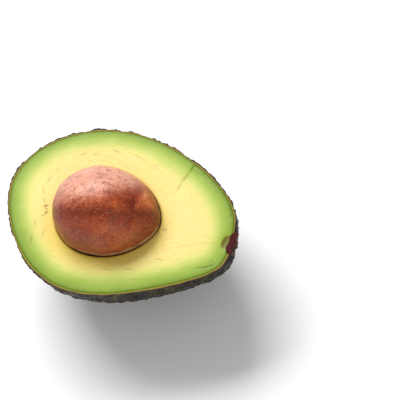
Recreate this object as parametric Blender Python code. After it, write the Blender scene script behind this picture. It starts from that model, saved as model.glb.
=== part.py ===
"""Half an avocado, cut lengthways and lying on its back, with the stone left in the flesh.

Four pieces, as they come apart on a bench: the skin, the flesh, the stone, and the half of the
woody stem button that the knife left in the narrow end.

Metres, +Z up. +X runs along the fruit to its stem end, and the cut face looks up. The origin is
on the surface that the fruit lies on, under the middle of its box.
"""

import math

import bmesh
import bpy
from mathutils import Matrix, Vector

# The whole fruit
LENGTH = 0.100
WIDTH = 0.071
DEPTH = 0.0382  # from the cut face to the lowest point of the round back
TAPER = (-0.23, -0.096, 0.146)  # slims the stem end: shares of the width, by powers of the place along
SWAY = (0.0036, -0.0488)  # bends the fruit sideways: shares of the length, by powers 2 and 3
SHOULDER_DROP = 0.0034  # the stem end is flattened to shoulders...
SHOULDER_REACH = 0.05
NECK_RISE = 0.0012  # ...and drawn out again close round the stem button
NECK_REACH = 0.012

# Its layers
SKIN_THICKNESS = 0.0012
GAP = 0.0003  # between pieces that touch
REST_FLAT_DEPTH = 0.0007  # how far the round back is pressed flat where the fruit lies

# The stone
STONE_LENGTH = 0.0446
STONE_WIDTH = 0.0362
STONE_PLACE = (-0.0056, -0.0010)
STONE_RISE = 0.0014  # the stone's middle stands this far above the cut face
STONE_TURN = math.radians(-2)
STONE_TIP = 0.2  # how much the end towards the stem is pinched
STONE_TIP_POWER = 6
STONE_BASE = 0.14  # how much the other end is filled out

# The stem button
BUTTON_RADIUS = 0.0045
BUTTON_THICKNESS = 0.0032
BUTTON_OUTER_END = 0.0488
BUTTON_LEAN = math.radians(-5)
BUTTON_EDGE = 0.0009

FRUIT_SEGMENTS = 44  # round the long axis
FRUIT_RINGS = 30  # along it
STONE_SEGMENTS = 28
STONE_RINGS = 18
BUTTON_SEGMENTS = 32

FACE_HEIGHT = DEPTH - REST_FLAT_DEPTH
UP = Vector((0, 0, 1))


def fruit_girth(along):
    """Half the fruit's width as a share of its widest, at a place from -1, the blossom end, to 1."""
    taper = 1 + sum(share * along ** (power + 1) for power, share in enumerate(TAPER))
    return math.sqrt(max(0, 1 - along * along)) * taper


def stone_girth(along):
    """Half the stone's width as a share of its widest, at a place from -1, its base, to 1, its tip."""
    pinch = STONE_TIP * ((1 + along) / 2) ** STONE_TIP_POWER
    fill = STONE_BASE * ((1 - along) / 2) ** 2
    return math.sqrt(max(0, 1 - along * along)) * (1 - pinch + fill)


def widest(girth, steps=400):
    return max(girth(2 * step / steps - 1) for step in range(steps + 1))


FRUIT_WIDEST = widest(fruit_girth)
STONE_WIDEST = widest(stone_girth)


def fruit_point(along, side, height):
    """A point of the fruit's outside. side and height give the direction round the long axis."""
    half = WIDTH / 2 * fruit_girth(along) / FRUIT_WIDEST
    shoulder = SHOULDER_DROP * math.exp((along - 1) / SHOULDER_REACH)
    neck = NECK_RISE * math.exp((along - 1) / NECK_REACH)
    sway = LENGTH * (SWAY[0] * along**2 + SWAY[1] * along**3)
    return Vector(
        (LENGTH / 2 * along - shoulder + neck, sway + half * side, DEPTH / (WIDTH / 2) * half * height)
    )


def stone_point(along, side, height):
    half = STONE_WIDTH / 2 * stone_girth(along) / STONE_WIDEST
    return Vector((STONE_LENGTH / 2 * along, half * side, half * height))


def face_outwards(form):
    form.normal_update()
    bmesh.ops.recalc_face_normals(form, faces=form.faces)
    form.normal_update()


def closed_form(point, segments, rings, inset=0.0):
    """A round body as a bmesh: a sphere whose points are moved to point(), then in by inset."""
    form = bmesh.new()
    bmesh.ops.create_uvsphere(form, u_segments=segments, v_segments=rings, radius=1)
    for vert in form.verts:
        along = max(-1.0, min(1.0, vert.co.z))
        across = Vector((vert.co.y, vert.co.x))
        if across.length > 1e-6:
            across.normalize()
        vert.co = point(along, across.x, across.y)
    face_outwards(form)
    shifts = [vert.normal * inset for vert in form.verts]
    for vert, shift in zip(form.verts, shifts):
        vert.co -= shift
    return form


def slice_off(form, height, side):
    """Cuts the body flat at a height and closes the cut. side is 1 to lose what is above, -1 below."""
    everything = form.verts[:] + form.edges[:] + form.faces[:]
    cut = bmesh.ops.bisect_plane(
        form, geom=everything, plane_co=UP * height, plane_no=UP * side, clear_outer=True
    )
    edges = [item for item in cut["geom_cut"] if isinstance(item, bmesh.types.BMEdge)]
    bmesh.ops.edgeloop_fill(form, edges=edges)
    face_outwards(form)


def add_object(name, form, collection, parent=None, is_cutter=False):
    mesh = bpy.data.meshes.new(name)
    form.to_mesh(mesh)
    form.free()
    mesh.shade_smooth()
    mesh.set_sharp_from_angle(angle=math.radians(40))
    piece = bpy.data.objects.new(name, mesh)
    piece.parent = parent
    collection.objects.link(piece)
    if is_cutter:
        piece.hide_render = True
        piece.display_type = "WIRE"
    return piece


def cut_away(piece, cutter):
    modifier = piece.modifiers.new("cut_" + cutter.name, "BOOLEAN")
    modifier.operation = "DIFFERENCE"
    modifier.solver = "EXACT"
    modifier.object = cutter


def paint(piece, colour, roughness):
    material = bpy.data.materials.new(piece.name)
    material.use_nodes = True
    shader = material.node_tree.nodes["Principled BSDF"]
    shader.inputs["Base Color"].default_value = (*colour, 1)
    shader.inputs["Roughness"].default_value = roughness
    shader.inputs["Metallic"].default_value = 0
    piece.data.materials.append(material)


def fruit_half(inset):
    """The lower half of the fruit, cut face up, with its outside moved in by inset."""
    form = closed_form(fruit_point, FRUIT_SEGMENTS, FRUIT_RINGS, inset)
    bmesh.ops.translate(form, vec=UP * FACE_HEIGHT, verts=form.verts)
    slice_off(form, FACE_HEIGHT, 1)
    slice_off(form, inset, -1)
    return form


def skin_lining_form():
    """What the skin is wrapped round: the fruit without it, standing proud of the cut face."""
    form = closed_form(fruit_point, FRUIT_SEGMENTS, FRUIT_RINGS, SKIN_THICKNESS)
    bmesh.ops.translate(form, vec=UP * FACE_HEIGHT, verts=form.verts)
    slice_off(form, SKIN_THICKNESS, -1)
    return form


def stone_form(clearance=0.0):
    form = closed_form(stone_point, STONE_SEGMENTS, STONE_RINGS, -clearance)
    turn = Matrix.Rotation(STONE_TURN, 4, "Z")
    place = Matrix.Translation((*STONE_PLACE, FACE_HEIGHT + STONE_RISE))
    bmesh.ops.transform(form, matrix=place @ turn, verts=form.verts)
    return form


def button_form(clearance=0.0):
    """The woody stub of the stem: a short round plug along the fruit, halved by the cut face.

    With a clearance it is the hole for the plug, which runs out past the end of the fruit.
    """
    form = bmesh.new()
    thickness = BUTTON_THICKNESS + (3 * BUTTON_THICKNESS if clearance else 0) + clearance
    radius = BUTTON_RADIUS + clearance
    bmesh.ops.create_cone(
        form, cap_ends=True, segments=BUTTON_SEGMENTS, radius1=radius, radius2=radius, depth=thickness
    )
    if not clearance:
        rims = [edge for edge in form.edges if edge.verts[0].co.z > 0 and edge.verts[1].co.z > 0]
        bmesh.ops.bevel(form, geom=rims, offset=BUTTON_EDGE, segments=3, affect="EDGES", profile=0.5)
    bmesh.ops.translate(form, vec=UP * thickness / 2, verts=form.verts)
    lie_along = Matrix.Rotation(math.radians(90), 4, "Y")
    turn = Matrix.Rotation(BUTTON_LEAN, 4, "Z")
    start = Vector((BUTTON_OUTER_END - BUTTON_THICKNESS - clearance, LENGTH * sum(SWAY), FACE_HEIGHT))
    bmesh.ops.transform(form, matrix=Matrix.Translation(start) @ turn @ lie_along, verts=form.verts)
    if not clearance:
        slice_off(form, FACE_HEIGHT, 1)
    return form


def box_middle(pieces):
    """The middle of the pieces' common box, seen from above."""
    graph = bpy.context.evaluated_depsgraph_get()
    corners = []
    for piece in pieces:
        shape = piece.evaluated_get(graph)
        corners += [shape.matrix_world @ Vector(corner) for corner in shape.bound_box]
    middles = [(min(c[i] for c in corners) + max(c[i] for c in corners)) / 2 for i in (0, 1)]
    return Vector((*middles, 0))


def main():
    for old in list(bpy.data.objects):
        bpy.data.objects.remove(old)
    pieces = bpy.data.collections.new("avocado_half")
    cutters = bpy.data.collections.new("cutters")
    for collection in (pieces, cutters):
        bpy.context.scene.collection.children.link(collection)
    root = bpy.data.objects.new("avocado_half", None)
    pieces.objects.link(root)

    lining = add_object("skin_lining", skin_lining_form(), cutters, root, is_cutter=True)
    stone_hole = add_object("stone_hole", stone_form(GAP), cutters, root, is_cutter=True)
    button_hole = add_object("button_hole", button_form(GAP), cutters, root, is_cutter=True)

    skin = add_object("skin", fruit_half(0), pieces, root)
    cut_away(skin, lining)
    cut_away(skin, button_hole)
    paint(skin, (0.024, 0.014, 0.010), 0.42)

    flesh = add_object("flesh", fruit_half(SKIN_THICKNESS + GAP), pieces, root)
    cut_away(flesh, stone_hole)
    cut_away(flesh, button_hole)
    paint(flesh, (0.78, 0.74, 0.22), 0.45)

    stone = add_object("stone", stone_form(), pieces, root)
    paint(stone, (0.30, 0.085, 0.032), 0.42)

    button = add_object("stem_button", button_form(), pieces, root)
    paint(button, (0.16, 0.06, 0.035), 0.75)

    bpy.context.view_layer.update()
    root.location = -box_middle((skin, flesh, stone, button))


main()
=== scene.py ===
# %% [markdown]
# # Half an avocado
#
# A ripe avocado cut lengthways and laid on its back, with the stone left in. Four things are
# separate on a bench, and four pieces are made here: the rind, the flesh, the stone, and the half
# of the woody stem button that the knife left in the narrow end.
#
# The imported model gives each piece's place and size. Everything below is built around it.

# %% Load the fixed frame
import math

import bmesh
import bpy
import numpy as np
from mathutils import Matrix, Vector


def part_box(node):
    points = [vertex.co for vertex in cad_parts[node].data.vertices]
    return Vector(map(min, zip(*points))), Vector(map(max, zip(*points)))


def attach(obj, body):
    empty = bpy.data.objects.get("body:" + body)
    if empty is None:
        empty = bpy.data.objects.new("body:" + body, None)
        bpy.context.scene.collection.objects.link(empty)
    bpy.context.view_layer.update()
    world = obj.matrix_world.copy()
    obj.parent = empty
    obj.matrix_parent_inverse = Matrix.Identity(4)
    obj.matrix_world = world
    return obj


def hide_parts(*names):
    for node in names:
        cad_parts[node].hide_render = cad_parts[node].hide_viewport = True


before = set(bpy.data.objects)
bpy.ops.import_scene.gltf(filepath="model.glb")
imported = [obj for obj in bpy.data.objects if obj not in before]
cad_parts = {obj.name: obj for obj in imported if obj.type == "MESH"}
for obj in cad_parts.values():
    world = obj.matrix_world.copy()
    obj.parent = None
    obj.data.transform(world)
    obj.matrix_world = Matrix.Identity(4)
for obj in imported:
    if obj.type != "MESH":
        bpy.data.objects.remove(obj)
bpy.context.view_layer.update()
MM = 0.001
print("pieces in the frame:", sorted(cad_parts))

# %% [markdown]
# ## The shape of the fruit
#
# An avocado grows round its stone, so its outside is a smooth closed form: a ball stretched along
# one axis, fuller at the blossom end, slimmer at the stem end, and slightly bent. Such a form could
# be sculpted, or lofted through drawn sections. A formula is shorter, and it gives the place and
# the outward direction of every point, so rind and flesh can follow the same form at two depths.

# %% The fruit's formula
LENGTH = 100 * MM
WIDTH = 71 * MM
DEPTH = 38.2 * MM
TAPER = (-0.23, -0.096, 0.146)
SWAY = (0.0036, -0.0488)
SHOULDER_DROP, SHOULDER_REACH = 3.4 * MM, 0.05
NECK_RISE, NECK_REACH = 1.2 * MM, 0.012


def fruit_girth(along):
    """Half the width as a share of the widest, from -1, the blossom end, to 1, the stem end."""
    taper = 1 + TAPER[0] * along + TAPER[1] * along**2 + TAPER[2] * along**3
    return np.sqrt(np.clip(1 - along**2, 0, 1)) * taper


FRUIT_WIDEST = fruit_girth(np.linspace(-1, 1, 2001)).max()


def fruit_points(swing, turn):
    """Points of the outside. swing runs from the stem end, 0, to the blossom end, pi; turn runs
    round the long axis, from 0 on the +Y side of the cut through -pi/2 underneath."""
    swing, turn = np.broadcast_arrays(swing, turn)
    along = np.cos(swing)
    half = WIDTH / 2 * fruit_girth(along) / FRUIT_WIDEST
    shoulder = SHOULDER_DROP * np.exp((along - 1) / SHOULDER_REACH)
    neck = NECK_RISE * np.exp((along - 1) / NECK_REACH)
    sway = LENGTH * (SWAY[0] * along**2 + SWAY[1] * along**3)
    across = sway + half * np.cos(turn)
    return np.stack(
        [LENGTH / 2 * along - shoulder + neck, across, half * np.sin(turn) * 2 * DEPTH / WIDTH], axis=-1
    )


# %% The stone's formula
STONE_LENGTH = 44.6 * MM
STONE_WIDTH = 36.2 * MM
STONE_TIP, STONE_TIP_POWER, STONE_BASE = 0.2, 6, 0.14
STONE_TURN = math.radians(-2)


def stone_girth(along):
    pinch = STONE_TIP * ((1 + along) / 2) ** STONE_TIP_POWER
    fill = STONE_BASE * ((1 - along) / 2) ** 2
    return np.sqrt(np.clip(1 - along**2, 0, 1)) * (1 - pinch + fill)


STONE_WIDEST = stone_girth(np.linspace(-1, 1, 2001)).max()


def stone_points(swing, turn):
    swing, turn = np.broadcast_arrays(swing, turn)
    along = np.cos(swing)
    half = STONE_WIDTH / 2 * stone_girth(along) / STONE_WIDEST
    x, y = STONE_LENGTH / 2 * along, half * np.cos(turn)
    lean_x = x * math.cos(STONE_TURN) - y * math.sin(STONE_TURN)
    lean_y = x * math.sin(STONE_TURN) + y * math.cos(STONE_TURN)
    return np.stack([lean_x, lean_y, half * np.sin(turn)], axis=-1)


# %% Directions, and depth below a surface
SMALL_TURN = 1e-3


def surface(form, directions, depth=0.0):
    """Points of a form in the given directions, moved inwards by depth, and their outward normals."""
    swing = np.arccos(np.clip(directions[..., 0], -1, 1))
    turn = np.arctan2(directions[..., 2], directions[..., 1])
    safe = np.clip(swing, 4 * SMALL_TURN, math.pi - 4 * SMALL_TURN)
    down = form(safe + SMALL_TURN, turn) - form(safe - SMALL_TURN, turn)
    round_axis = form(safe, turn + SMALL_TURN) - form(safe, turn - SMALL_TURN)
    normals = np.cross(down, round_axis)
    normals /= np.linalg.norm(normals, axis=-1, keepdims=True)
    points = form(swing, turn)
    return points - normals * depth, normals


def compass(angles, latitude):
    """Unit directions: angle round the upright axis, latitude above the cut face, both arrays."""
    angles, latitude = np.broadcast_arrays(angles, latitude)
    return np.stack(
        [np.cos(latitude) * np.cos(angles), np.cos(latitude) * np.sin(angles), np.sin(latitude)], axis=-1
    )


# %% Where the fruit and the stone stand in the frame
skin_low, skin_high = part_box("skin")
outline_y = fruit_points(np.linspace(0, math.pi, 2001)[:, None], np.array([[0, math.pi]]))[..., 1]
FRUIT_CENTRE = np.array(
    [
        skin_low.x + LENGTH / 2,
        (skin_low.y + skin_high.y - outline_y.min() - outline_y.max()) / 2,
        skin_high.z,
    ]
)
stone_low, stone_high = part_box("stone")
STONE_CENTRE = np.array(
    [
        (stone_low.x + stone_high.x) / 2,
        (stone_low.y + stone_high.y) / 2,
        (stone_low.z + stone_high.z) / 2,
    ]
)
FACE_HEIGHT = float(FRUIT_CENTRE[2])
print("cut face at", round(FACE_HEIGHT / MM, 2), "mm; stone centre", np.round(STONE_CENTRE / MM, 2))

# %% [markdown]
# ## Small helpers
#
# A colour is written as it is seen, in sRGB hex, and turned to the linear values that a shader
# needs. One function adds a node with its settings and its links, for both kinds of node tree. One
# more runs a Geometry Nodes tree on an object and keeps the result as a plain mesh. Four kinds of
# node come up so often that each has a short name: `calc`, `remap`, `blend` and `noise`.

# %% Colour, nodes, attributes


def linear(hex_colour, alpha=1.0):
    values = [int(hex_colour[i : i + 2], 16) / 255 for i in (1, 3, 5)]
    return (*(v / 12.92 if v <= 0.04045 else ((v + 0.055) / 1.055) ** 2.4 for v in values), alpha)


def add(tree, kind, sockets=None, stops=None, **settings):
    """Adds a node. sockets maps an input's name or number to a value or to another node's output."""
    node = tree.nodes.new(kind)
    for name, value in settings.items():
        setattr(node, name, value)
    if stops:
        elements = node.color_ramp.elements
        elements[0].position, elements[1].position = stops[0][0], stops[-1][0]
        elements[0].color, elements[1].color = linear(stops[0][1]), linear(stops[-1][1])
        for position, colour in stops[1:-1]:
            elements.new(position).color = linear(colour)
    for name, value in (sockets or {}).items():
        if isinstance(value, bpy.types.NodeSocket):
            tree.links.new(value, node.inputs[name])
        else:
            node.inputs[name].default_value = value
    return node


def calc(tree, operation, *values):
    """A sum, product or other step of arithmetic."""
    return add(tree, "ShaderNodeMath", dict(enumerate(values)), operation=operation).outputs[0]


def remap(tree, value, low, high, start=0.0, end=1.0, smooth=False):
    """A value between low and high, moved to the range from start to end and kept inside it."""
    sockets = {"Value": value, "From Min": low, "From Max": high, "To Min": start, "To Max": end}
    kind = "SMOOTHSTEP" if smooth else "LINEAR"
    return add(tree, "ShaderNodeMapRange", sockets, interpolation_type=kind).outputs["Result"]


def blend(tree, amount, first, second):
    """A colour between two; a colour may be sRGB hex or another node's output."""
    first, second = (linear(c) if isinstance(c, str) else c for c in (first, second))
    return add(tree, "ShaderNodeMix", {0: amount, 6: first, 7: second}, data_type="RGBA").outputs[2]


def noise(tree, vector, scale, detail, distortion=0.0):
    """Soft noise around one half."""
    sockets = {"Vector": vector, "Scale": scale, "Detail": detail, "Distortion": distortion}
    return add(tree, "ShaderNodeTexNoise", sockets).outputs["Fac"]


def ramp(tree, value, stops):
    """A colour read off a row of stops, each a position and sRGB hex."""
    return add(tree, "ShaderNodeValToRGB", {"Fac": value}, stops=stops).outputs["Color"]


def bump(tree, height, strength, distance):
    """Normals for relief too fine for the mesh."""
    sockets = {"Height": height, "Strength": strength, "Distance": distance}
    return add(tree, "ShaderNodeBump", sockets).outputs["Normal"]


def attribute(tree, name, output="Fac"):
    """A value that the mesh keeps for each point."""
    return add(tree, "ShaderNodeAttribute", attribute_name=name).outputs[output]


def stored(tree, name, kind="FLOAT"):
    """The same kept value, read in a Geometry Nodes tree."""
    return add(tree, "GeometryNodeInputNamedAttribute", {"Name": name}, data_type=kind).outputs[0]


def store(mesh, name, values, kind="FLOAT"):
    """Keeps a value for each point of a mesh, for node trees and materials to read."""
    kept_values = mesh.attributes.new(name, kind, "POINT")
    field = "value" if kind == "FLOAT" else "vector"
    kept_values.data.foreach_set(field, np.ascontiguousarray(values, np.float32).ravel())


def add_object(name, mesh):
    piece = bpy.data.objects.new(name, mesh)
    bpy.context.scene.collection.objects.link(piece)
    return piece


def new_material(name):
    material = bpy.data.materials.new(name)
    material.use_nodes = True
    material.node_tree.nodes.clear()
    return material, material.node_tree


def run_nodes(piece, tree, values):
    """Gives the tree its inputs, evaluates it on the piece, and keeps the outcome as the mesh."""
    modifier = piece.modifiers.new(tree.name, "NODES")
    modifier.node_group = tree
    for item in tree.interface.items_tree:
        if item.in_out == "INPUT" and item.name in values:
            modifier[item.identifier] = values[item.name]
    evaluated = piece.evaluated_get(bpy.context.evaluated_depsgraph_get())
    mesh = bpy.data.meshes.new_from_object(evaluated)
    piece.modifiers.remove(modifier)
    old = piece.data
    piece.data = mesh
    mesh.name = piece.name
    bpy.data.meshes.remove(old)
    print(piece.name, "has", sum(len(p.vertices) - 2 for p in mesh.polygons), "triangles")


def new_tree(name, inputs):
    """An empty Geometry Nodes tree with named inputs, (name, kind, value), after its geometry."""
    tree = bpy.data.node_groups.new(name, "GeometryNodeTree")
    tree.interface.new_socket("Geometry", in_out="INPUT", socket_type="NodeSocketGeometry")
    tree.interface.new_socket("Geometry", in_out="OUTPUT", socket_type="NodeSocketGeometry")
    for label, kind, value in inputs:
        socket = tree.interface.new_socket(label, in_out="INPUT", socket_type=kind)
        socket.default_value = value
    return tree, add(tree, "NodeGroupInput").outputs


# %% [markdown]
# ## The rind
#
# The rind of a ripe fruit is a tough coat a good millimetre thick. Its outside is covered in low
# glossy pebbles two to three millimetres apart, which draw out into wrinkles round the stem. The
# knife leaves it as a thin golden edge round the flesh.
#
# A UV sphere would crowd its points at the poles, where pebbles would look pinched. An icosphere
# spreads them evenly, so half of a fine one is bent to the fruit's formula. Its open edge is then
# pulled inwards for the cut edge, and down again for the inner wall, which closes the shell.

# %% Rind: a closed half shell
SKIN_THICKNESS = 1.2 * MM
BALL_LEVEL = 8
EDGE_DEPTHS = np.array([0.1, 0.3, 0.55, 0.85, 1.08, 1.2]) * MM
EDGE_SAG = np.array([0.0, 0.02, 0.03, 0.02, 0.0, 0.1]) * MM
WALL_LATITUDES = np.radians([-1, -3, -6, -10, -16, -24, -34, -45, -57, -70, -82])

half_ball = bmesh.new()
bmesh.ops.create_icosphere(half_ball, subdivisions=BALL_LEVEL, radius=1)
bmesh.ops.bisect_plane(
    half_ball,
    geom=half_ball.verts[:] + half_ball.edges[:] + half_ball.faces[:],
    dist=1e-5,
    plane_co=(0, 0, 0),
    plane_no=(0, 0, 1),
    clear_outer=True,
)
skin_mesh = bpy.data.meshes.new("avocado_skin")
half_ball.to_mesh(skin_mesh)
half_ball.clear()
half_ball.from_mesh(skin_mesh)
rim_edge = next(edge for edge in half_ball.edges if edge.is_boundary)
rim_loop = [rim_edge.verts[0]]
edge = rim_edge
while True:
    ahead = edge.other_vert(rim_loop[-1])
    if ahead is rim_loop[0]:
        break
    rim_loop.append(ahead)
    edge = next(e for e in ahead.link_edges if e.is_boundary and e is not edge)
rim_angles = np.array([math.atan2(vert.co.y, vert.co.x) for vert in rim_loop])
outer_directions = np.array([vert.co for vert in half_ball.verts])
outer_directions /= np.linalg.norm(outer_directions, axis=1, keepdims=True)
outer_points, outer_normals = surface(fruit_points, outer_directions)

ring_points, ring_normals, ring_depths = [], [], []
for depth, sag in zip(EDGE_DEPTHS, EDGE_SAG):
    points, normals = surface(fruit_points, compass(rim_angles, 0.0), depth)
    ring_points.append(points - [0, 0, sag])
    ring_normals.append(normals)
    ring_depths.append(depth)
for latitude in WALL_LATITUDES:
    points, normals = surface(fruit_points, compass(rim_angles, latitude), SKIN_THICKNESS)
    ring_points.append(points)
    ring_normals.append(normals)
    ring_depths.append(SKIN_THICKNESS)
loop = rim_loop
for points in ring_points:
    following = [half_ball.verts.new(point) for point in points]
    for i in range(len(loop)):
        j = (i + 1) % len(loop)
        half_ball.faces.new((loop[i], loop[j], following[j], following[i]))
    loop = following
bottom_point, bottom_normal = surface(fruit_points, compass(np.zeros(1), -math.pi / 2), SKIN_THICKNESS)
bottom = half_ball.verts.new(bottom_point[0])
for i in range(len(loop)):
    half_ball.faces.new((loop[i], loop[(i + 1) % len(loop)], bottom))
bmesh.ops.recalc_face_normals(half_ball, faces=half_ball.faces)

half_ball.to_mesh(skin_mesh)
half_ball.free()
skin_points = np.concatenate([outer_points, *ring_points, bottom_point]) + FRUIT_CENTRE
skin_points[:, 2] = np.maximum(skin_points[:, 2], 0)
skin_mesh.vertices.foreach_set("co", skin_points.astype(np.float32).ravel())
ring_size = len(rim_angles)
skin_depth = np.concatenate(
    [np.zeros(len(outer_points)), np.repeat(ring_depths, ring_size), [SKIN_THICKNESS]]
)
store(skin_mesh, "depth", skin_depth / MM)
store(skin_mesh, "outward", np.concatenate([outer_normals, *ring_normals, bottom_normal]), "FLOAT_VECTOR")
skin = add_object("avocado_skin", skin_mesh)
print("rind shell:", len(skin_mesh.vertices), "points, rim of", ring_size)

# %% [markdown]
# ### Pebbles
#
# The pebbles repeat over the whole outside, so Geometry Nodes make them. Cells of a Voronoi pattern,
# bent by noise, give one round bump each. The tree lifts the tops a little above the fruit's formula
# and lowers the skin between them, so the size stays true. Near the stem a second pattern that only
# changes round the button takes over, and draws the pebbles out into wrinkles. A slower noise makes
# the whole coat a little uneven.

# %% Rind: Geometry Nodes for the pebbles
PEBBLE_SPACING = 2.7 * MM
PEBBLE_RELIEF = 0.75 * MM
PEBBLE_MIDDLE = 0.65
WRINKLE_REACH = 10 * MM
UNEVENNESS = 1.7 * MM
STEM_END = FRUIT_CENTRE + fruit_points(np.zeros(1), np.zeros(1))[0]

pebble_tree, group = new_tree(
    "pebbled rind",
    [
        ("Spacing", "NodeSocketFloat", 0.0025),
        ("Relief", "NodeSocketFloat", 0.0005),
        ("Stem End", "NodeSocketVector", (0.0, 0.0, 0.0)),
        ("Wrinkle Reach", "NodeSocketFloat", 0.01),
        ("Unevenness", "NodeSocketFloat", 0.001),
    ],
)
t = pebble_tree
place = add(t, "GeometryNodeInputPosition").outputs[0]
outward = stored(t, "outward", "FLOAT_VECTOR")
depth = stored(t, "depth")
per_cell = calc(t, "DIVIDE", 1.0, group["Spacing"])
cells = add(t, "ShaderNodeVectorMath", {0: place, "Scale": per_cell}, operation="SCALE").outputs[0]
bend = add(t, "ShaderNodeTexNoise", {"Vector": cells, "Scale": 0.55, "Detail": 2.0}).outputs["Color"]
bend = add(t, "ShaderNodeVectorMath", {0: bend, 1: (0.5, 0.5, 0.5)}, operation="SUBTRACT").outputs[0]
bend = add(t, "ShaderNodeVectorMath", {0: bend, "Scale": 2.2}, operation="SCALE").outputs[0]
bent = add(t, "ShaderNodeVectorMath", {0: cells, 1: bend}, operation="ADD").outputs[0]
cell = add(
    t,
    "ShaderNodeTexVoronoi",
    {"Vector": bent, "Scale": 1.0, "Smoothness": 0.35, "Randomness": 0.9},
    feature="SMOOTH_F1",
).outputs["Distance"]
dome = remap(t, cell, 0.12, 0.72, 1.0, 0.0, smooth=True)
small = noise(t, bent, 1.6, 2.0)
small = remap(t, small, 0.3, 0.7, smooth=True)
pebbles = add(t, "ShaderNodeMix", {0: 0.3, 2: dome, 3: small}).outputs[0]

from_stem = add(t, "ShaderNodeVectorMath", {0: place, 1: group["Stem End"]}, operation="SUBTRACT").outputs[0]
reach = add(t, "ShaderNodeVectorMath", {0: from_stem}, operation="LENGTH").outputs["Value"]
spoke = add(t, "ShaderNodeVectorMath", {0: from_stem}, operation="NORMALIZE").outputs[0]
folds = noise(t, spoke, 7.0, 3.0)
folds = remap(t, folds, 0.38, 0.62, smooth=True)
near_stem = remap(t, calc(t, "DIVIDE", reach, group["Wrinkle Reach"]), 0.5, 1.3, 0.85, 0.0, smooth=True)
height = add(t, "ShaderNodeMix", {0: near_stem, 2: pebbles, 3: folds}).outputs[0]
lowered = calc(t, "SUBTRACT", height, PEBBLE_MIDDLE)
lowered = calc(t, "MULTIPLY", lowered, group["Relief"])
outside = remap(t, depth, 0.0, 0.6, 1.0, 0.0)
lowered = calc(t, "MULTIPLY", lowered, outside)
# The unevenness makes the cut edge thicker here and thinner there. The inner side stays.
uneven = noise(t, place, 1 / (6 * MM), 1.0)
uneven = calc(t, "SUBTRACT", uneven, 0.5)
uneven = calc(t, "MULTIPLY", uneven, group["Unevenness"])
off_wall = remap(t, depth, 0.0, SKIN_THICKNESS / MM, 1.0, 0.0)
uneven = calc(t, "MULTIPLY", uneven, off_wall)
lowered = calc(t, "ADD", lowered, uneven)
shift = add(t, "ShaderNodeVectorMath", {0: outward, "Scale": lowered}, operation="SCALE").outputs[0]
raised = add(t, "GeometryNodeSetPosition", {"Geometry": group["Geometry"], "Offset": shift}).outputs[0]
named = {"Geometry": raised, "Name": "pebble", "Value": height}
kept = add(t, "GeometryNodeStoreNamedAttribute", named, data_type="FLOAT").outputs[0]
# The weight of the fruit presses the lowest pebbles flat, so nothing reaches below the ground.
parts = add(t, "ShaderNodeSeparateXYZ", {0: add(t, "GeometryNodeInputPosition").outputs[0]}).outputs
grounded = calc(t, "MAXIMUM", parts[2], 0.0)
grounded = add(t, "ShaderNodeCombineXYZ", {0: parts[0], 1: parts[1], 2: grounded}).outputs[0]
kept = add(t, "GeometryNodeSetPosition", {"Geometry": kept, "Position": grounded}).outputs[0]

# %% [markdown]
# ### The rind's colour
#
# Ripe rind is nearly black, with purple on the pebbles' tops and olive green left between them, and
# a natural wax gives it a soft gloss. The knife shows it from the side: a dark line outside, then
# a golden layer. `depth`, the millimetres below the outside, tells the two apart, and `pebble`, the
# height of each bump, places the olive.

# %% Rind: waxed ripe rind
rind, m = new_material("waxed_ripe_rind")
depth = attribute(m, "depth")
pebble = attribute(m, "pebble")
place = add(m, "ShaderNodeTexCoord").outputs["Object"]
patches = noise(m, place, 1 / (11 * MM), 3.0)
grain = noise(m, place, 1 / (0.9 * MM), 4.0)
tops = ramp(m, patches, [(0.3, "#130a08"), (0.5, "#20120f"), (0.7, "#2b1b15")])
valleys = ramp(m, patches, [(0.3, "#1c160b"), (0.5, "#302a10"), (0.72, "#4d4a18")])
dip = calc(m, "ADD", grain, -0.5)
dip = calc(m, "MULTIPLY_ADD", dip, 0.9, pebble)
dip = remap(m, dip, 0.12, 0.62)
outside_colour = blend(m, dip, valleys, tops)
edge_wave = calc(m, "MULTIPLY_ADD", grain, 0.5, depth)
edge_colour = ramp(
    m,
    calc(m, "ADD", edge_wave, -0.25),
    [(0.0, "#170d08"), (0.36, "#2a1b09"), (0.55, "#6b540a"), (0.78, "#9a7d0c"), (1.0, "#7f850f")],
)
is_cut = remap(m, depth, 0.04, 0.2)
colour = blend(m, is_cut, outside_colour, edge_colour)
gloss = remap(m, grain, 0.3, 0.7, 0.3, 0.48)
fine_bump = bump(m, grain, 0.35, 0.12 * MM)
shader = add(
    m,
    "ShaderNodeBsdfPrincipled",
    {
        "Base Color": colour,
        "Roughness": gloss,
        "Normal": fine_bump,
        "IOR": 1.45,
        "Specular IOR Level": 0.22,
    },
)
add(m, "ShaderNodeOutputMaterial", {"Surface": shader.outputs[0]})

# %% Rind: run the tree
painted = add(t, "GeometryNodeSetMaterial", {"Geometry": kept, "Material": rind}).outputs[0]
real = add(t, "GeometryNodeRealizeInstances", {"Geometry": painted}).outputs[0]
add(t, "NodeGroupOutput", {"Geometry": real})
run_nodes(
    skin,
    pebble_tree,
    {
        "Spacing": PEBBLE_SPACING,
        "Relief": PEBBLE_RELIEF,
        "Stem End": tuple(float(v) for v in STEM_END),
        "Wrinkle Reach": WRINKLE_REACH,
        "Unevenness": UNEVENNESS,
    },
)
skin.data.shade_smooth()

# %% [markdown]
# ## The flesh
#
# The flesh is a soft butter-like body: pale yellow round the stone, green in the last centimetre
# under the rind. Its cut face is flat, because a knife made it, but not perfect. There is a crease
# where the knife met itself again, faint strands run from the stem round the stone, and brown
# flecks mark where strands were cut across.
#
# The whole body is one net of rings and spokes, from the bottom of the stone's hollow up its wall,
# across the face to the rim and round underneath. So every point of the face knows how far it is
# from the rim and from the stone, which is what its colour follows.

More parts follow.
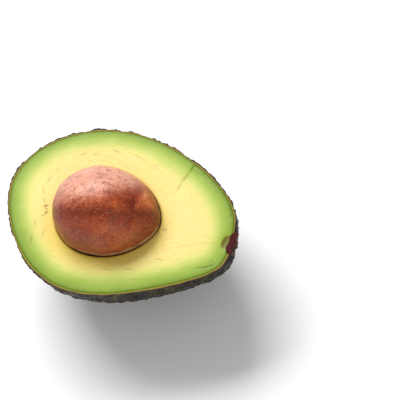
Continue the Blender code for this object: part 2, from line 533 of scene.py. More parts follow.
# %% Flesh: spokes, and the two outlines of the face
SPOKES = 600
FACE_RINGS = 84
# At the cut the flesh meets the rind. Further round it stands clear of the rind's inner wall.
FLESH_DEPTH = 1.25 * MM
BACK_DEPTH = 1.5 * MM
STONE_GAP = 0.3 * MM
spokes = np.arange(SPOKES) / SPOKES * 2 * math.pi


def hollow_points(directions):
    """The hollow round the stone, a little larger than the stone, measured from the fruit's centre."""
    points = surface(stone_points, directions, -STONE_GAP)[0]
    return points + STONE_CENTRE - FRUIT_CENTRE


low, high = np.full(SPOKES, -1.2), np.zeros(SPOKES)
for _ in range(40):
    middle = (low + high) / 2
    above = hollow_points(compass(spokes, middle))[:, 2] > 0
    high = np.where(above, middle, high)
    low = np.where(above, low, middle)
hollow_edge_latitude = (low + high) / 2
hollow_edge = hollow_points(compass(spokes, hollow_edge_latitude))
rim, _ = surface(fruit_points, compass(spokes, 0.0), FLESH_DEPTH)

# %% Flesh: room for the stem button
button_low, button_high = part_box("stem_button")
button_middle = np.array([0, (button_low.y + button_high.y) / 2, FACE_HEIGHT]) - FRUIT_CENTRE
BUTTON_START = button_low.x - FRUIT_CENTRE[0]
BUTTON_RADIUS = (button_high.y - button_low.y) / 2
BUTTON_OVERLAP, BUTTON_MARGIN = 0.7 * MM, 0.35 * MM


def clear_of_button(points):
    """Points level with the button are held back just inside its inner end, out of sight."""
    aside = np.hypot(points[..., 1] - button_middle[1], points[..., 2])
    inside = np.clip((BUTTON_RADIUS + BUTTON_MARGIN - aside) / BUTTON_MARGIN, 0, 1)
    over = np.maximum(points[..., 0] - BUTTON_START - BUTTON_OVERLAP, 0) * inside
    points = points.copy()
    points[..., 0] -= over
    return points


rim = clear_of_button(rim)
print("face: rim", np.round(np.ptp(rim[:, :2], axis=0) / MM, 1), "mm")

# %% Flesh: the net
shares = (1 - np.cos(np.linspace(0, math.pi, FACE_RINGS))) / 2
shares = 0.35 * shares + 0.65 * np.linspace(0, 1, FACE_RINGS)
face = hollow_edge[None] + shares[:, None, None] * (rim - hollow_edge)[None]
face[..., 2] = 0
wall_steps = np.linspace(0.06, 0.985, 13)
wall = np.stack(
    [
        hollow_points(compass(spokes, -math.pi / 2 + step * (hollow_edge_latitude + math.pi / 2)))
        for step in wall_steps
    ]
)
back = np.stack(
    [
        clear_of_button(surface(fruit_points, compass(spokes, latitude), BACK_DEPTH)[0])
        for latitude in WALL_LATITUDES
    ]
)
floor_limit = BACK_DEPTH - FACE_HEIGHT
back[..., 2] = np.maximum(back[..., 2], floor_limit)
poles = np.stack(
    [
        hollow_points(compass(np.zeros(1), -math.pi / 2))[0],
        surface(fruit_points, compass(np.zeros(1), -math.pi / 2), BACK_DEPTH)[0][0],
    ]
)
poles[1, 2] = floor_limit


def distance_to(outline, points):
    """How far each point is from the nearest of an outline's points and the stretch to the next."""
    ahead = np.roll(outline, -1, axis=0)
    best = np.full(len(points), np.inf)
    for start, end in zip(outline, ahead):
        run = end - start
        share = np.clip((points - start) @ run / max(run @ run, 1e-18), 0, 1)
        best = np.minimum(best, np.linalg.norm(points - start - share[:, None] * run, axis=1))
    return best


flat = face.reshape(-1, 3)[:, :2]
rim_distance = distance_to(rim[::2, :2], flat) / MM
stone_distance = distance_to(hollow_edge[::2, :2], flat) / MM
print("greatest width of flesh:", round(float((rim_distance + stone_distance).max()), 1), "mm")

# %% [markdown]
# ### Marks on the face
#
# A knife and a ripening fruit leave marks in a few known places. Each mark is a soft spot or stroke:
# a middle, a half length, a half width, and the way it points. They are painted into attributes,
# and some are pressed into the surface too.

# %% Flesh: strokes


def stroke(x, y, half_length, half_width, angle=0.0):
    """How much each point of the face lies in a soft stroke, from 0 to 1. Sizes are in millimetres."""
    aside = flat / MM - [x, y]
    turn = math.radians(angle)
    forward = aside[:, 0] * math.cos(turn) + aside[:, 1] * math.sin(turn)
    side = aside[:, 1] * math.cos(turn) - aside[:, 0] * math.sin(turn)
    return np.exp(-((forward / half_length) ** 2) - (side / half_width) ** 2)


def strokes(marks):
    """The strongest of several strokes, each given as strength and then stroke's own values."""
    return np.max([strength * stroke(*mark) for strength, *mark in marks], axis=0)


# Cut ends of strands at the blossom side of the stone, and faint ones along the flesh.
flecks = strokes(
    [
        (0.95, -32.0, -1.9, 0.9, 0.5, 20),
        (0.7, -31.4, -3.0, 0.7, 0.35, -35),
        (0.9, -30.9, -4.6, 0.9, 0.42, 70),
        (0.6, -31.9, -6.0, 0.9, 0.3, 40),
        (0.4, -33.4, 0.2, 1.5, 0.32, -55),
        (0.32, -35.0, 4.4, 1.8, 0.4, -70),
        (0.35, -34.1, 9.6, 1.6, 0.5, 75),
        (0.3, -31.9, 14.2, 1.2, 0.5, 60),
        (0.3, -34.2, -9.6, 1.5, 0.45, -60),
        (0.42, -33.6, -16.6, 1.7, 0.5, -75),
        (0.3, -29.4, -13.8, 2.4, 0.35, 82),
        (0.35, -23.3, 22.3, 1.2, 0.4, 26),
        (0.3, -17.9, 23.1, 1.4, 0.4, 6),
        (0.35, -9.9, 25.9, 1.9, 0.4, -12),
        (0.3, 0.5, 24.6, 3.2, 0.35, -18),
        (0.25, 7.3, 21.9, 2.6, 0.35, -22),
        (0.4, 18.9, -3.6, 1.1, 0.5, -14),
        (0.3, 20.4, -15.8, 1.6, 0.35, 8),
        (0.3, 9.2, -21.9, 2.0, 0.4, 4),
        (0.28, 12.5, -25.5, 2.4, 0.3, 10),
        (0.25, 0.7, -23.5, 2.6, 0.35, -2),
        (0.2, 36.5, -6.2, 4.5, 0.3, 10),
        (0.16, 30.0, -8.4, 5.0, 0.3, 16),
        (0.14, 37.0, -3.4, 4.0, 0.25, 2),
    ]
)
# Green bruises along the rim, where the knife dragged.
bruises = strokes(
    [
        (0.9, 41.1, -14.7, 1.3, 0.28, 42),
        (0.75, 39.2, -15.7, 1.8, 0.3, 30),
        (0.55, 37.2, -16.2, 2.2, 0.3, 15),
        (0.5, 40.4, -13.4, 1.1, 0.28, 55),
        (0.6, 42.9, 8.4, 1.1, 0.32, -60),
        (0.8, 43.6, 6.6, 0.7, 0.32, -70),
        (0.4, 41.6, 10.6, 1.3, 0.3, -50),
        (0.75, 22.9, 23.6, 1.9, 0.24, 72),
        (0.36, 21.5, 20.0, 2.0, 0.28, 66),
        (0.2, 20.0, 15.6, 2.2, 0.34, 78),
        (0.35, 25.6, 22.0, 2.6, 0.22, -22),
    ]
)
olive_smudge = strokes([(0.5, 20.8, 18.6, 1.2, 0.8, 60), (0.3, 19.6, 14.6, 1.6, 0.8, 70)])
flecks = np.maximum(flecks, 0.5 * olive_smudge)
# The small hollow behind the stem button, where the strands came in.
pit = np.clip(1.25 * strokes([(1.0, 44.1, -4.4, 1.2, 2.3, -8)]), 0, 1)

# %% Flesh: strands
# Strands leave the stem, part round the stone and meet at the blossom end. Circles through two
# points do the same, so the angle under which a point sees both ends tells which strand it is on.
stem_point, blossom_point = np.array([44.5, -4.6]), np.array([-45.5, 0.6])
to_stem, to_blossom = stem_point - flat / MM, blossom_point - flat / MM
seen_angle = np.arctan2(
    to_stem[:, 0] * to_blossom[:, 1] - to_stem[:, 1] * to_blossom[:, 0], (to_stem * to_blossom).sum(1)
)
seen_angle = np.where(seen_angle < 0, seen_angle + 2 * math.pi, seen_angle)
run_along = np.log((np.hypot(*to_stem.T) + 1) / (np.hypot(*to_blossom.T) + 1))
strand = np.stack([seen_angle * 22, run_along * 8, np.zeros(len(flat))], axis=1)

# Streaks that cross the green band stand at right angles to the rim, so their pattern lies on a
# drum as long round as the rim, with the distance from the rim as its height.
around = np.tile(spokes, FACE_RINGS)
drum = 40.0
band = np.stack([drum * np.cos(around), drum * np.sin(around), rim_distance * 0.22], axis=1)

# %% Flesh: relief of the face
SEAM_PLACE, SEAM_ANGLE = (23.2, 24.4), 71
SEAM_STEP, SEAM_SHARPNESS, SEAM_FADE = 0.15, 0.12, 7
SEAM_INNER_END, SEAM_RISE = 12, 8
seam_side = flat / MM - SEAM_PLACE
seam_turn = math.radians(SEAM_ANGLE)
beyond_seam = seam_side[:, 0] * math.sin(seam_turn) - seam_side[:, 1] * math.cos(seam_turn)
step = SEAM_STEP / (1 + np.exp(-beyond_seam / SEAM_SHARPNESS))
step *= np.exp(-np.maximum(beyond_seam, 0) / SEAM_FADE)
step *= np.clip((flat[:, 1] / MM - SEAM_INNER_END) / SEAM_RISE, 0, 1)
BRUISE_DEPTH, FLECK_DEPTH, PIT_DEPTH = 0.14 * MM, 0.1 * MM, 0.5 * MM
LIP_DROP, LIP_WIDTH = 0.3 * MM, 0.45
RIM_DROP, RIM_WIDTH = 0.08 * MM, 0.3
relief = -step * MM
relief -= BRUISE_DEPTH * bruises + FLECK_DEPTH * flecks + PIT_DEPTH * pit
relief -= LIP_DROP * np.exp(-((stone_distance / LIP_WIDTH) ** 2))
relief -= RIM_DROP * np.exp(-((rim_distance / RIM_WIDTH) ** 2))
face[..., 2] = relief.reshape(FACE_RINGS, SPOKES)

# %% Flesh: mesh
rings = np.concatenate([wall, face, back])
ring_count = len(rings)
points = np.concatenate([rings.reshape(-1, 3), poles]) + FRUIT_CENTRE
ids = np.arange(ring_count * SPOKES).reshape(ring_count, SPOKES)
beside = np.roll(ids, -1, axis=1)
quads = np.stack([ids[:-1], beside[:-1], beside[1:], ids[1:]], axis=-1).reshape(-1, 4)
first_pole, last_pole = len(points) - 2, len(points) - 1
caps = [(first_pole, beside[0, j], ids[0, j]) for j in range(SPOKES)]
caps += [(last_pole, ids[-1, j], beside[-1, j]) for j in range(SPOKES)]
flesh_mesh = bpy.data.meshes.new("avocado_flesh")
flesh_mesh.from_pydata(points.tolist(), [], [*map(tuple, quads.tolist()), *caps])
form = bmesh.new()
form.from_mesh(flesh_mesh)
form.normal_update()
bmesh.ops.recalc_face_normals(form, faces=form.faces)
form.to_mesh(flesh_mesh)
form.free()


def over_face(values, inner, outer):
    """Spreads values of the face's points over the whole body, with fixed values elsewhere."""
    values = np.asarray(values, float)
    shape = (-1,) + values.shape[1:]
    before = np.broadcast_to(inner, (len(wall) * SPOKES,) + values.shape[1:]).reshape(shape)
    after = np.broadcast_to(outer, (len(back) * SPOKES,) + values.shape[1:]).reshape(shape)
    ends = np.stack([np.broadcast_to(inner, values.shape[1:]), np.broadcast_to(outer, values.shape[1:])])
    return np.concatenate([before, values, after, ends])


store(flesh_mesh, "rim_distance", over_face(rim_distance, rim_distance.max(), 0.0))
store(flesh_mesh, "stone_distance", over_face(stone_distance, 0.0, stone_distance.max()))
store(flesh_mesh, "fleck", over_face(flecks, 0.0, 0.0))
store(flesh_mesh, "bruise", over_face(bruises, 0.0, 0.0))
store(flesh_mesh, "pit", over_face(pit, 0.0, 0.0))
store(flesh_mesh, "on_face", over_face(np.ones(len(flat)), 0.0, 0.0))
store(flesh_mesh, "strand", over_face(strand, np.zeros(3), np.zeros(3)), "FLOAT_VECTOR")
store(flesh_mesh, "band", over_face(band, np.zeros(3), np.zeros(3)), "FLOAT_VECTOR")
flesh = add_object("avocado_flesh", flesh_mesh)
print("flesh net:", ring_count, "rings by", SPOKES, "spokes")

# %% [markdown]
# ### Strands in the surface
#
# A knife pulls strands slightly proud of the softer flesh. They follow one rule over the whole face,
# so Geometry Nodes lift them: noise that is stretched along the strands, faded out at both edges.

# %% Flesh: Geometry Nodes for the strands
strand_tree, group = new_tree(
    "flesh strands",
    [
        ("Strand Relief", "NodeSocketFloat", 0.0001),
        ("Wave Relief", "NodeSocketFloat", 0.0002),
        ("Wave Length", "NodeSocketFloat", 0.015),
    ],
)
t = strand_tree
strand_place = stored(t, "strand", "FLOAT_VECTOR")
on_face = stored(t, "on_face")
edge = stored(t, "rim_distance")
inner_edge = stored(t, "stone_distance")
edge = calc(t, "MINIMUM", edge, inner_edge)
fade = remap(t, edge, 0.5, 4.0)
fade = calc(t, "MULTIPLY", fade, on_face)
lines = noise(t, strand_place, 0.9, 3.0)
lines = calc(t, "ADD", lines, -0.5)
lines = calc(t, "MULTIPLY", lines, group["Strand Relief"])
place = add(t, "GeometryNodeInputPosition").outputs[0]
per_wave = calc(t, "DIVIDE", 1.0, group["Wave Length"])
waves = noise(t, place, per_wave, 1.0)
waves = calc(t, "ADD", waves, -0.5)
waves = calc(t, "MULTIPLY", waves, group["Wave Relief"])
lift = calc(t, "ADD", lines, waves)
lift = calc(t, "MULTIPLY", lift, fade)
lift = add(t, "ShaderNodeCombineXYZ", {2: lift}).outputs[0]
lifted = add(t, "GeometryNodeSetPosition", {"Geometry": group["Geometry"], "Offset": lift}).outputs[0]

# %% [markdown]
# ### The flesh's colour
#
# Chlorophyll makes the outer flesh green and fades within a centimetre, so one ramp over the
# distance from the rim sets the colour. Noise moves that border a little in and out, streaks cross
# the green at right angles to the rim, and strands darken the yellow. On the +Y side, towards the
# key light, the green is painted narrower and so paler: painted light. Round the stone the yellow
# deepens a little, and much more on the -Y side, where it is painted shadow of the stone. Light goes
# a short way into fatty flesh, which needs a little subsurface scattering, and the cut is slightly moist.

# %% Flesh: fresh cut avocado flesh
cut_flesh, m = new_material("fresh_cut_flesh")
rim_mm = attribute(m, "rim_distance")
stone_mm = attribute(m, "stone_distance")
fleck = attribute(m, "fleck")
bruise = attribute(m, "bruise")
pit_here = attribute(m, "pit")
strand_place = attribute(m, "strand", "Vector")
band_place = attribute(m, "band", "Vector")
place = add(m, "ShaderNodeTexCoord").outputs["Object"]

drift = noise(m, place, 1 / (13 * MM), 2.0)
streak = noise(m, band_place, 1.1, 4.0)
border = calc(m, "MULTIPLY_ADD", drift, 4.0, -2.0)
border = calc(m, "MULTIPLY_ADD", streak, 2.6, calc(m, "SUBTRACT", border, 1.3))
inwards = remap(m, rim_mm, 0.0, 3.0)
border = calc(m, "MULTIPLY_ADD", border, inwards, rim_mm)
across = add(m, "ShaderNodeSeparateXYZ", {0: place}).outputs[1]
# Painted light: on the +Y side, towards the key light, the green band is made narrower and so paler.
painted_light_narrowing = remap(m, across, 8 * MM, 30 * MM, end=1.4)
painted_light_narrowing = calc(m, "MULTIPLY", painted_light_narrowing, inwards)
border = calc(m, "ADD", border, painted_light_narrowing)
RAMP_REACH = 20.0
colour = ramp(
    m,
    calc(m, "DIVIDE", border, RAMP_REACH),
    [
        (0.0, "#5f7c16"), (0.5 / RAMP_REACH, "#738f22"), (1.6 / RAMP_REACH, "#8ba633"),
        (4.0 / RAMP_REACH, "#a5bb49"), (6.2 / RAMP_REACH, "#c5d067"), (8.4 / RAMP_REACH, "#e2dc80"),
        (11.5 / RAMP_REACH, "#f3e08e"), (18.0 / RAMP_REACH, "#f9e092"),
    ],
)
# Deeper yellow round the stone: a little all round, and much more on the -Y side, where it is painted shadow
# cast by the stone.
near_stone = remap(m, stone_mm, 0.0, 9.5, 1.0, 0.0, smooth=True)
painted_shadow_side = remap(m, across, 8 * MM, -18 * MM, 0.22, 0.8)
yellow_and_painted_shadow = calc(m, "MULTIPLY", near_stone, painted_shadow_side)
colour = blend(m, yellow_and_painted_shadow, colour, "#dfc23e")
thread = noise(m, strand_place, 1.1, 4.0)
thread = remap(m, thread, 0.48, 0.76, end=0.6)
thread = calc(m, "MULTIPLY", thread, remap(m, rim_mm, 5.0, 10.0))
colour = blend(m, thread, colour, "#e4ca5a")
dark_streak = remap(m, streak, 0.46, 0.72, end=0.5)
dark_streak = calc(m, "MULTIPLY", dark_streak, remap(m, rim_mm, 8.0, 2.0))
colour = blend(m, dark_streak, colour, "#7fa32c")
colour = blend(m, bruise, colour, "#355c14")
colour = blend(m, fleck, colour, "#8a5a22")
pit_colour = ramp(m, pit_here, [(0.15, "#a09a30"), (0.4, "#6f5a1c"), (0.6, "#7d7629"), (0.95, "#6f6f24")])
pit_amount = remap(m, pit_here, 0.1, 0.45)
colour = blend(m, pit_amount, colour, pit_colour)
fine = noise(m, place, 1 / (0.6 * MM), 3.0)
moist = remap(m, fine, 0.3, 0.7, 0.34, 0.5)
grain_bump = bump(m, fine, 0.25, 0.08 * MM)
shader = add(
    m,
    "ShaderNodeBsdfPrincipled",
    {
        "Base Color": colour,
        "Roughness": moist,
        "Normal": grain_bump,
        "IOR": 1.4,
        "Specular IOR Level": 0.3,
        "Subsurface Weight": 0.2,
        "Subsurface Radius": (1.0, 0.7, 0.25),
        "Subsurface Scale": 1.6 * MM,
    },
)
add(m, "ShaderNodeOutputMaterial", {"Surface": shader.outputs[0]})

painted = add(t, "GeometryNodeSetMaterial", {"Geometry": lifted, "Material": cut_flesh}).outputs[0]
real = add(t, "GeometryNodeRealizeInstances", {"Geometry": painted}).outputs[0]
add(t, "NodeGroupOutput", {"Geometry": real})
run_nodes(flesh, strand_tree, {"Strand Relief": 0.12 * MM, "Wave Relief": 0.3 * MM, "Wave Length": 16 * MM})
flesh.data.shade_smooth()

# %% [markdown]
# ## The stone
#
# The stone is a hard, waxy ball with a pointed tip towards the stem. A thin brown coat clings to
# it, finely fibrous and mottled orange-brown, and paler in a band low on its side. Painted light
# lies over the coat: a pink patch above, partly bloom and partly painted highlight, a stripe of
# painted shade along its back, and a purplish painted reflection below. An icosphere gives it even
# points, bent to the stone's own formula.

# %% Stone: form
stone_ball = bmesh.new()
bmesh.ops.create_icosphere(stone_ball, subdivisions=7, radius=1)
stone_directions = np.array([vert.co for vert in stone_ball.verts])
stone_directions /= np.linalg.norm(stone_directions, axis=1, keepdims=True)
placed, _ = surface(stone_points, stone_directions)
for vert, point in zip(stone_ball.verts, placed + STONE_CENTRE):
    vert.co = point
stone_ball.normal_update()
bmesh.ops.recalc_face_normals(stone_ball, faces=stone_ball.faces)
stone_mesh = bpy.data.meshes.new("avocado_stone")
stone_ball.to_mesh(stone_mesh)
stone_ball.free()
stone = add_object("avocado_stone", stone_mesh)

# %% [markdown]
# ### The coat's relief
#
# Drying wrinkles the coat along the stone and leaves a net of fine grooves. Both repeat over the
# surface, so Geometry Nodes press them in, always inwards, so that the stone still fits its hollow.

# %% Stone: Geometry Nodes for the coat
coat_tree, group = new_tree(
    "stone coat",
    [
        ("Centre", "NodeSocketVector", (0.0, 0.0, 0.0)),
        ("Wrinkle Depth", "NodeSocketFloat", 0.0003),
        ("Groove Depth", "NodeSocketFloat", 0.0001),
        ("Swell Depth", "NodeSocketFloat", 0.0005),
    ],
)
t = coat_tree
place = add(t, "GeometryNodeInputPosition").outputs[0]
local = add(t, "ShaderNodeVectorMath", {0: place, 1: group["Centre"]}, operation="SUBTRACT").outputs[0]
stretched = add(
    t, "ShaderNodeVectorMath", {0: local, 1: (1 / (9 * MM), 1 / (3 * MM), 1 / (3 * MM))}, operation="MULTIPLY"
).outputs[0]
wrinkles = noise(t, stretched, 1.0, 4.0, 0.6)
wrinkles = remap(t, wrinkles, 0.3, 0.7, -1.0, 0.0)
wrinkles = calc(t, "MULTIPLY", wrinkles, group["Wrinkle Depth"])
swell = noise(t, local, 1 / (17 * MM), 1.0)
swell = remap(t, swell, 0.3, 0.7, -1.0, 0.0, smooth=True)
swell = calc(t, "MULTIPLY", swell, group["Swell Depth"])
warp = add(t, "ShaderNodeTexNoise", {"Vector": local, "Scale": 1 / (2.5 * MM), "Detail": 2.0})
warp = warp.outputs["Color"]
warp = add(t, "ShaderNodeVectorMath", {0: warp, "Scale": 2.5 * MM}, operation="SCALE").outputs[0]
warped = add(t, "ShaderNodeVectorMath", {0: local, 1: warp}, operation="ADD").outputs[0]
net = add(
    t, "ShaderNodeTexVoronoi", {"Vector": warped, "Scale": 1 / (2.4 * MM)}, feature="DISTANCE_TO_EDGE"
).outputs["Distance"]
groove = remap(t, net, 0.0, 0.16, 1.0, 0.0, smooth=True)
grooves = calc(t, "MULTIPLY", groove, group["Groove Depth"])
total = calc(t, "ADD", wrinkles, swell)
total = calc(t, "SUBTRACT", total, grooves)
normal = add(t, "GeometryNodeInputNormal").outputs[0]
shift = add(t, "ShaderNodeVectorMath", {0: normal, "Scale": total}, operation="SCALE").outputs[0]
pressed = add(t, "GeometryNodeSetPosition", {"Geometry": group["Geometry"], "Offset": shift}).outputs[0]
named = {"Geometry": pressed, "Name": "groove", "Value": groove}
kept = add(t, "GeometryNodeStoreNamedAttribute", named, data_type="FLOAT").outputs[0]

# %% [markdown]
# ### The coat's colour
#
# The coat is a papery tan to purple-brown skin over an orange-brown seed. Broad patches come from
# one slow noise, mottles from a faster one, and threads from noise that is drawn out along the
# stone. Its upper side, towards the key light, is pinker and paler, partly bloom and partly painted
# highlight; its lower side is paler and purplish, which is painted reflection; a dark stripe of
# painted shade runs along its back between them; and its tip is darkest. It is waxy rather than
# wet, so its gloss is broad.

# %% Stone: papery seed coat
seed_coat, m = new_material("papery_seed_coat")
place = add(m, "ShaderNodeTexCoord").outputs["Object"]
local = add(
    m, "ShaderNodeMapping", {"Vector": place, "Location": tuple(float(-v) for v in STONE_CENTRE)}
).outputs["Vector"]
groove_here = attribute(m, "groove")
patches = noise(m, local, 1 / (10 * MM), 4.0, 0.8)
colour = ramp(m, patches, [(0.3, "#7b270d"), (0.42, "#a54018"), (0.55, "#c55b27"), (0.7, "#d9783f")])
uneven = calc(m, "MULTIPLY_ADD", patches, 9 * MM, -4.5 * MM)


def across_stone(direction, low, high, most, both_ways=False):
    """An amount that grows from nothing to most, between two heights along a direction."""
    height = add(m, "ShaderNodeVectorMath", {0: local, 1: direction}, operation="DOT_PRODUCT")
    height = calc(m, "ADD", height.outputs["Value"], uneven)
    if both_ways:
        height = calc(m, "ABSOLUTE", height)
    return remap(m, height, low, high, 0.0, most, smooth=True)


# A pale pink patch on the upper side, facing the key light: partly the coat's own bloom, partly painted
# highlight.
bloom_and_painted_highlight = across_stone((-0.35, 0.86, 0.37), 2 * MM, 11 * MM, 0.8)
colour = blend(m, bloom_and_painted_highlight, colour, "#ecae96")
# Painted reflection: the lower side is paler and purplish, where the floor and the front light would reflect.
painted_reflection = across_stone((-0.55, -0.82, -0.15), 2 * MM, 13 * MM, 0.7)
colour = blend(m, painted_reflection, colour, "#a45646")
# Painted shade: a dark stripe along the stone's back, between the painted highlight above and the painted
# reflection below.
painted_shade_stripe = across_stone((-0.153, 0.905, 0.396), 5.5 * MM, 0.0, 0.7, both_ways=True)
colour = blend(m, painted_shade_stripe, colour, "#681c06")
tip = across_stone((0.88, -0.42, -0.2), 14 * MM, 22 * MM, 0.7)
colour = blend(m, tip, colour, "#561b10")
mottle = noise(m, local, 1 / (2.6 * MM), 5.0, 1.5)
mottle = remap(m, mottle, 0.5, 0.72, end=0.7)
colour = blend(m, mottle, colour, "#6e2512")
drawn_out = add(
    m, "ShaderNodeMapping", {"Vector": local, "Scale": (0.3, 1.0, 1.0), "Rotation": (0.0, 0.0, 0.5)}
).outputs["Vector"]
threads = noise(m, drawn_out, 1 / (0.8 * MM), 5.0, 2.0)
light_threads = remap(m, threads, 0.54, 0.72, end=0.42)
colour = blend(m, light_threads, colour, "#dc9474")
dark_threads = remap(m, threads, 0.47, 0.3, end=0.5)
colour = blend(m, dark_threads, colour, "#5e1e0f")
groove_amount = calc(m, "MULTIPLY", groove_here, 0.14)
colour = blend(m, groove_amount, colour, "#6a2c1e")
# The coat is paler in an uneven band low on the stone, just above the cut face.
above = add(m, "ShaderNodeSeparateXYZ", {0: place}).outputs[2]
low_down = remap(m, above, FACE_HEIGHT + 4.5 * MM, FACE_HEIGHT + 0.4 * MM)
pale_low_band = noise(m, local, 1 / (5 * MM), 4.0)
pale_low_band = calc(m, "MULTIPLY", pale_low_band, low_down)
pale_low_band = remap(m, pale_low_band, 0.3, 0.5, end=0.8)
colour = blend(m, pale_low_band, colour, "#cfae7c")
waxy = remap(m, threads, 0.3, 0.7, 0.3, 0.46)
coat_bump = bump(m, threads, 0.3, 0.1 * MM)
shader = add(
    m,
    "ShaderNodeBsdfPrincipled",
    {
        "Base Color": colour,
        "Roughness": waxy,
        "Normal": coat_bump,
        "IOR": 1.5,
        "Specular Tint": linear("#ffdccf"),
    },
)
add(m, "ShaderNodeOutputMaterial", {"Surface": shader.outputs[0]})

painted = add(t, "GeometryNodeSetMaterial", {"Geometry": kept, "Material": seed_coat}).outputs[0]
real = add(t, "GeometryNodeRealizeInstances", {"Geometry": painted}).outputs[0]
add(t, "NodeGroupOutput", {"Geometry": real})
run_nodes(
    stone,
    coat_tree,
    {
        "Centre": tuple(float(v) for v in STONE_CENTRE),
        "Wrinkle Depth": 0.22 * MM,
        "Groove Depth": 0.07 * MM,
        "Swell Depth": 0.5 * MM,
    },
)
stone.data.shade_smooth()

# %% [markdown]
# ## The stem button
#
# The button is the stub that the stalk leaves: a corky disc nine millimetres across, with a raised
# ring and a dot in its end. The knife halved it, and cut wood shows dark red. A turned profile gives
# the disc, and a slice takes its upper half.

# %% Stem button: a turned disc, halved
BUTTON_SIDES = 120
# The stub stands a little shorter than the room it has.
LENGTH_SHOWN = 0.72
button_length = LENGTH_SHOWN * (button_high.x - button_low.x)
PROFILE = [
    (0.0, 0.0),
    (0.0, 0.55),
    (0.04, 0.76),
    (0.16, 0.92),
    (0.45, 1.0),
    (0.66, 0.98),
    (0.84, 0.92),
    (0.95, 0.8),
    (1.0, 0.68),
    (0.97, 0.58),
    (0.9, 0.5),
    (0.86, 0.4),
    (0.88, 0.28),
    (0.95, 0.2),
    (0.97, 0.12),
    (0.96, 0.0),
]
disc = bmesh.new()
profile_verts = [disc.verts.new((x * button_length, r * BUTTON_RADIUS, 0)) for x, r in PROFILE]
profile_edges = [disc.edges.new(pair) for pair in zip(profile_verts, profile_verts[1:])]
bmesh.ops.spin(
    disc,
    geom=profile_verts + profile_edges,
    cent=(0, 0, 0),
    axis=(1, 0, 0),
    angle=2 * math.pi,
    steps=BUTTON_SIDES,
    use_merge=True,
)
bmesh.ops.remove_doubles(disc, verts=disc.verts, dist=1e-6)
bmesh.ops.subdivide_edges(disc, edges=disc.edges[:], cuts=1, use_grid_fill=True)
disc.normal_update()
bmesh.ops.recalc_face_normals(disc, faces=disc.faces)
button_lean = math.radians(-5)
for vert in disc.verts:
    angle = math.atan2(vert.co.z, vert.co.y)
    radius = math.hypot(vert.co.y, vert.co.z)
    lumps = 0.07 * math.sin(5 * angle + 1.0) + 0.03 * math.sin(11 * angle + 2.2) + 0.02 * math.sin(23 * angle)
    share = radius / BUTTON_RADIUS
    vert.co.y *= 1 + lumps * share
    vert.co.z *= 1 + lumps * share
    vert.co.x += 0.12 * MM * share * math.sin(7 * angle + 0.7)
    vert.co.x += 0.3 * MM * math.sin(1.3 * vert.co.y / MM + 0.6) + 0.15 * MM * math.sin(3.7 * vert.co.y / MM)
seat = Matrix.Translation(
    (button_low.x + 0.05 * MM, float(FRUIT_CENTRE[1] + button_middle[1]), FACE_HEIGHT)
)
bmesh.ops.transform(disc, matrix=seat @ Matrix.Rotation(button_lean, 4, "Z"), verts=disc.verts)
CUT_PROUD = 0.08 * MM
halved = bmesh.ops.bisect_plane(
    disc,
    geom=disc.verts[:] + disc.edges[:] + disc.faces[:],
    plane_co=(0, 0, FACE_HEIGHT + CUT_PROUD),
    plane_no=(0, 0, 1),
    clear_outer=True,
)
cut_edges = [item for item in halved["geom_cut"] if isinstance(item, bmesh.types.BMEdge)]
bmesh.ops.edgeloop_fill(disc, edges=cut_edges)
disc.normal_update()
bmesh.ops.recalc_face_normals(disc, faces=disc.faces)
button_mesh = bpy.data.meshes.new("avocado_stem_button")
disc.to_mesh(button_mesh)
disc.free()
button = add_object("avocado_stem_button", button_mesh)
button_mesh.shade_smooth()
button_mesh.set_sharp_from_angle(angle=math.radians(50))
print("stem button:", len(button_mesh.polygons), "faces")

# %% Stem button: corky bark and cut wood
cork, m = new_material("corky_stem_bark")
place = add(m, "ShaderNodeTexCoord").outputs["Object"]
crumbs = noise(m, place, 1 / (0.8 * MM), 5.0, 0.5)
bark = ramp(m, crumbs, [(0.3, "#2c1a12"), (0.5, "#573725"), (0.62, "#765038"), (0.75, "#96765c")])
wood = ramp(m, crumbs, [(0.3, "#1d0504"), (0.5, "#47100f"), (0.65, "#591715"), (0.8, "#7d4032")])
height = add(m, "ShaderNodeSeparateXYZ", {0: place}).outputs[2]
at_cut = remap(m, height, FACE_HEIGHT - 0.3 * MM, FACE_HEIGHT + CUT_PROUD - 0.02 * MM)
colour = blend(m, at_cut, bark, wood)
rough_bump = bump(m, crumbs, 0.8, 0.3 * MM)
shader = add(
    m, "ShaderNodeBsdfPrincipled", {"Base Color": colour, "Roughness": 0.75, "Normal": rough_bump, "IOR": 1.3}
)
add(m, "ShaderNodeOutputMaterial", {"Surface": shader.outputs[0]})
button_mesh.materials.append(cork)

# %% [markdown]
# ## Into the frame
#
# There are no joints, so the model has one body, `root`, and every piece rides on it. Each piece
# stands for the plain solid of the same name, which is hidden.

# %% Ride and replace
for piece, node in ((skin, "skin"), (flesh, "flesh"), (stone, "stone"), (button, "stem_button")):
    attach(piece, "root")
    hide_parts(node)

# %% [markdown]
# ## Floor, light and camera
#
# A white floor, a large soft light high on the far side, which leaves a broad sheen on the stone,
# and a weaker one low in front. The camera looks down on the cut face from the stem end's side.

# %% Camera
CAMERA_DISTANCE = 600 * MM
TILT, SWING, ROLL = math.radians(28.7), math.radians(-42.35), math.radians(9.4)
LENS, SENSOR = 138.0, 36.0
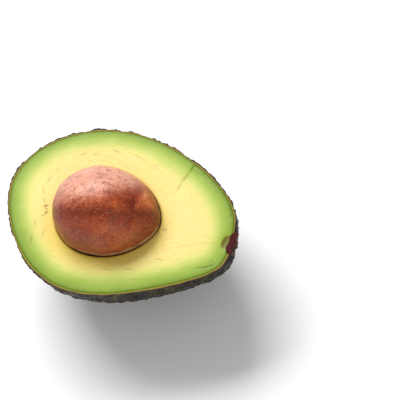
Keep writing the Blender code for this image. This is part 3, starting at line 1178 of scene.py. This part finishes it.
# How far right of and above the fruit's centre the camera aims, as shares of the distance.
AIM_RIGHT, AIM_UP = 0.0511, 0.0091
target = Vector(FRUIT_CENTRE)
towards_camera = Vector(
    (math.sin(TILT) * math.cos(SWING), math.sin(TILT) * math.sin(SWING), math.cos(TILT))
)
level = Vector((1, 0, 0)) - towards_camera * towards_camera.x
level.normalize()
right = level * math.cos(ROLL) + towards_camera.cross(level) * math.sin(ROLL)
upward = towards_camera.cross(right)
camera_data = bpy.data.cameras.new("camera")
camera_data.lens = LENS
camera_data.sensor_width = SENSOR
camera_data.clip_start = 0.01
camera = add_object("camera", camera_data)
forward = (-towards_camera + right * AIM_RIGHT + upward * AIM_UP).normalized()
side = forward.cross(upward).normalized()
top = side.cross(forward)
turn = Matrix((side, top, -forward)).transposed()
camera.matrix_world = Matrix.Translation(target + towards_camera * CAMERA_DISTANCE) @ turn.to_4x4()
bpy.context.scene.camera = camera

# %% Floor
floor_form = bmesh.new()
bmesh.ops.create_grid(floor_form, x_segments=1, y_segments=1, size=3.0)
floor_mesh = bpy.data.meshes.new("floor")
floor_form.to_mesh(floor_mesh)
floor_form.free()
floor = add_object("floor", floor_mesh)
white, m = new_material("white_paper_sweep")
shader = add(m, "ShaderNodeBsdfPrincipled", {"Base Color": linear("#fcfcfc"), "Roughness": 0.6})
add(m, "ShaderNodeOutputMaterial", {"Surface": shader.outputs[0]})
floor_mesh.materials.append(white)

# %% Lights
world = bpy.data.worlds.new("studio")
world.use_nodes = True
world.node_tree.nodes["Background"].inputs["Color"].default_value = linear("#ffffff")
world.node_tree.nodes["Background"].inputs["Strength"].default_value = 0.38
bpy.context.scene.world = world


def soft_light(name, direction, distance, width, height, energy):
    """An area light that shines on the fruit from the given direction."""
    data = bpy.data.lights.new(name, "AREA")
    data.shape = "RECTANGLE"
    data.size, data.size_y, data.energy = width, height, energy
    light = add_object(name, data)
    away = Vector(direction).normalized()
    facing = away.to_track_quat("Z", "Y").to_matrix().to_4x4()
    light.matrix_world = Matrix.Translation(target + away * distance) @ facing


soft_light("key", (-0.4, 0.55, 0.72), 1.6, 1.2, 0.5, 28.5)
soft_light("front_fill", (0.5, -0.8, 0.55), 1.6, 1.0, 0.5, 4.5)
bpy.context.scene.view_settings.view_transform = "Standard"
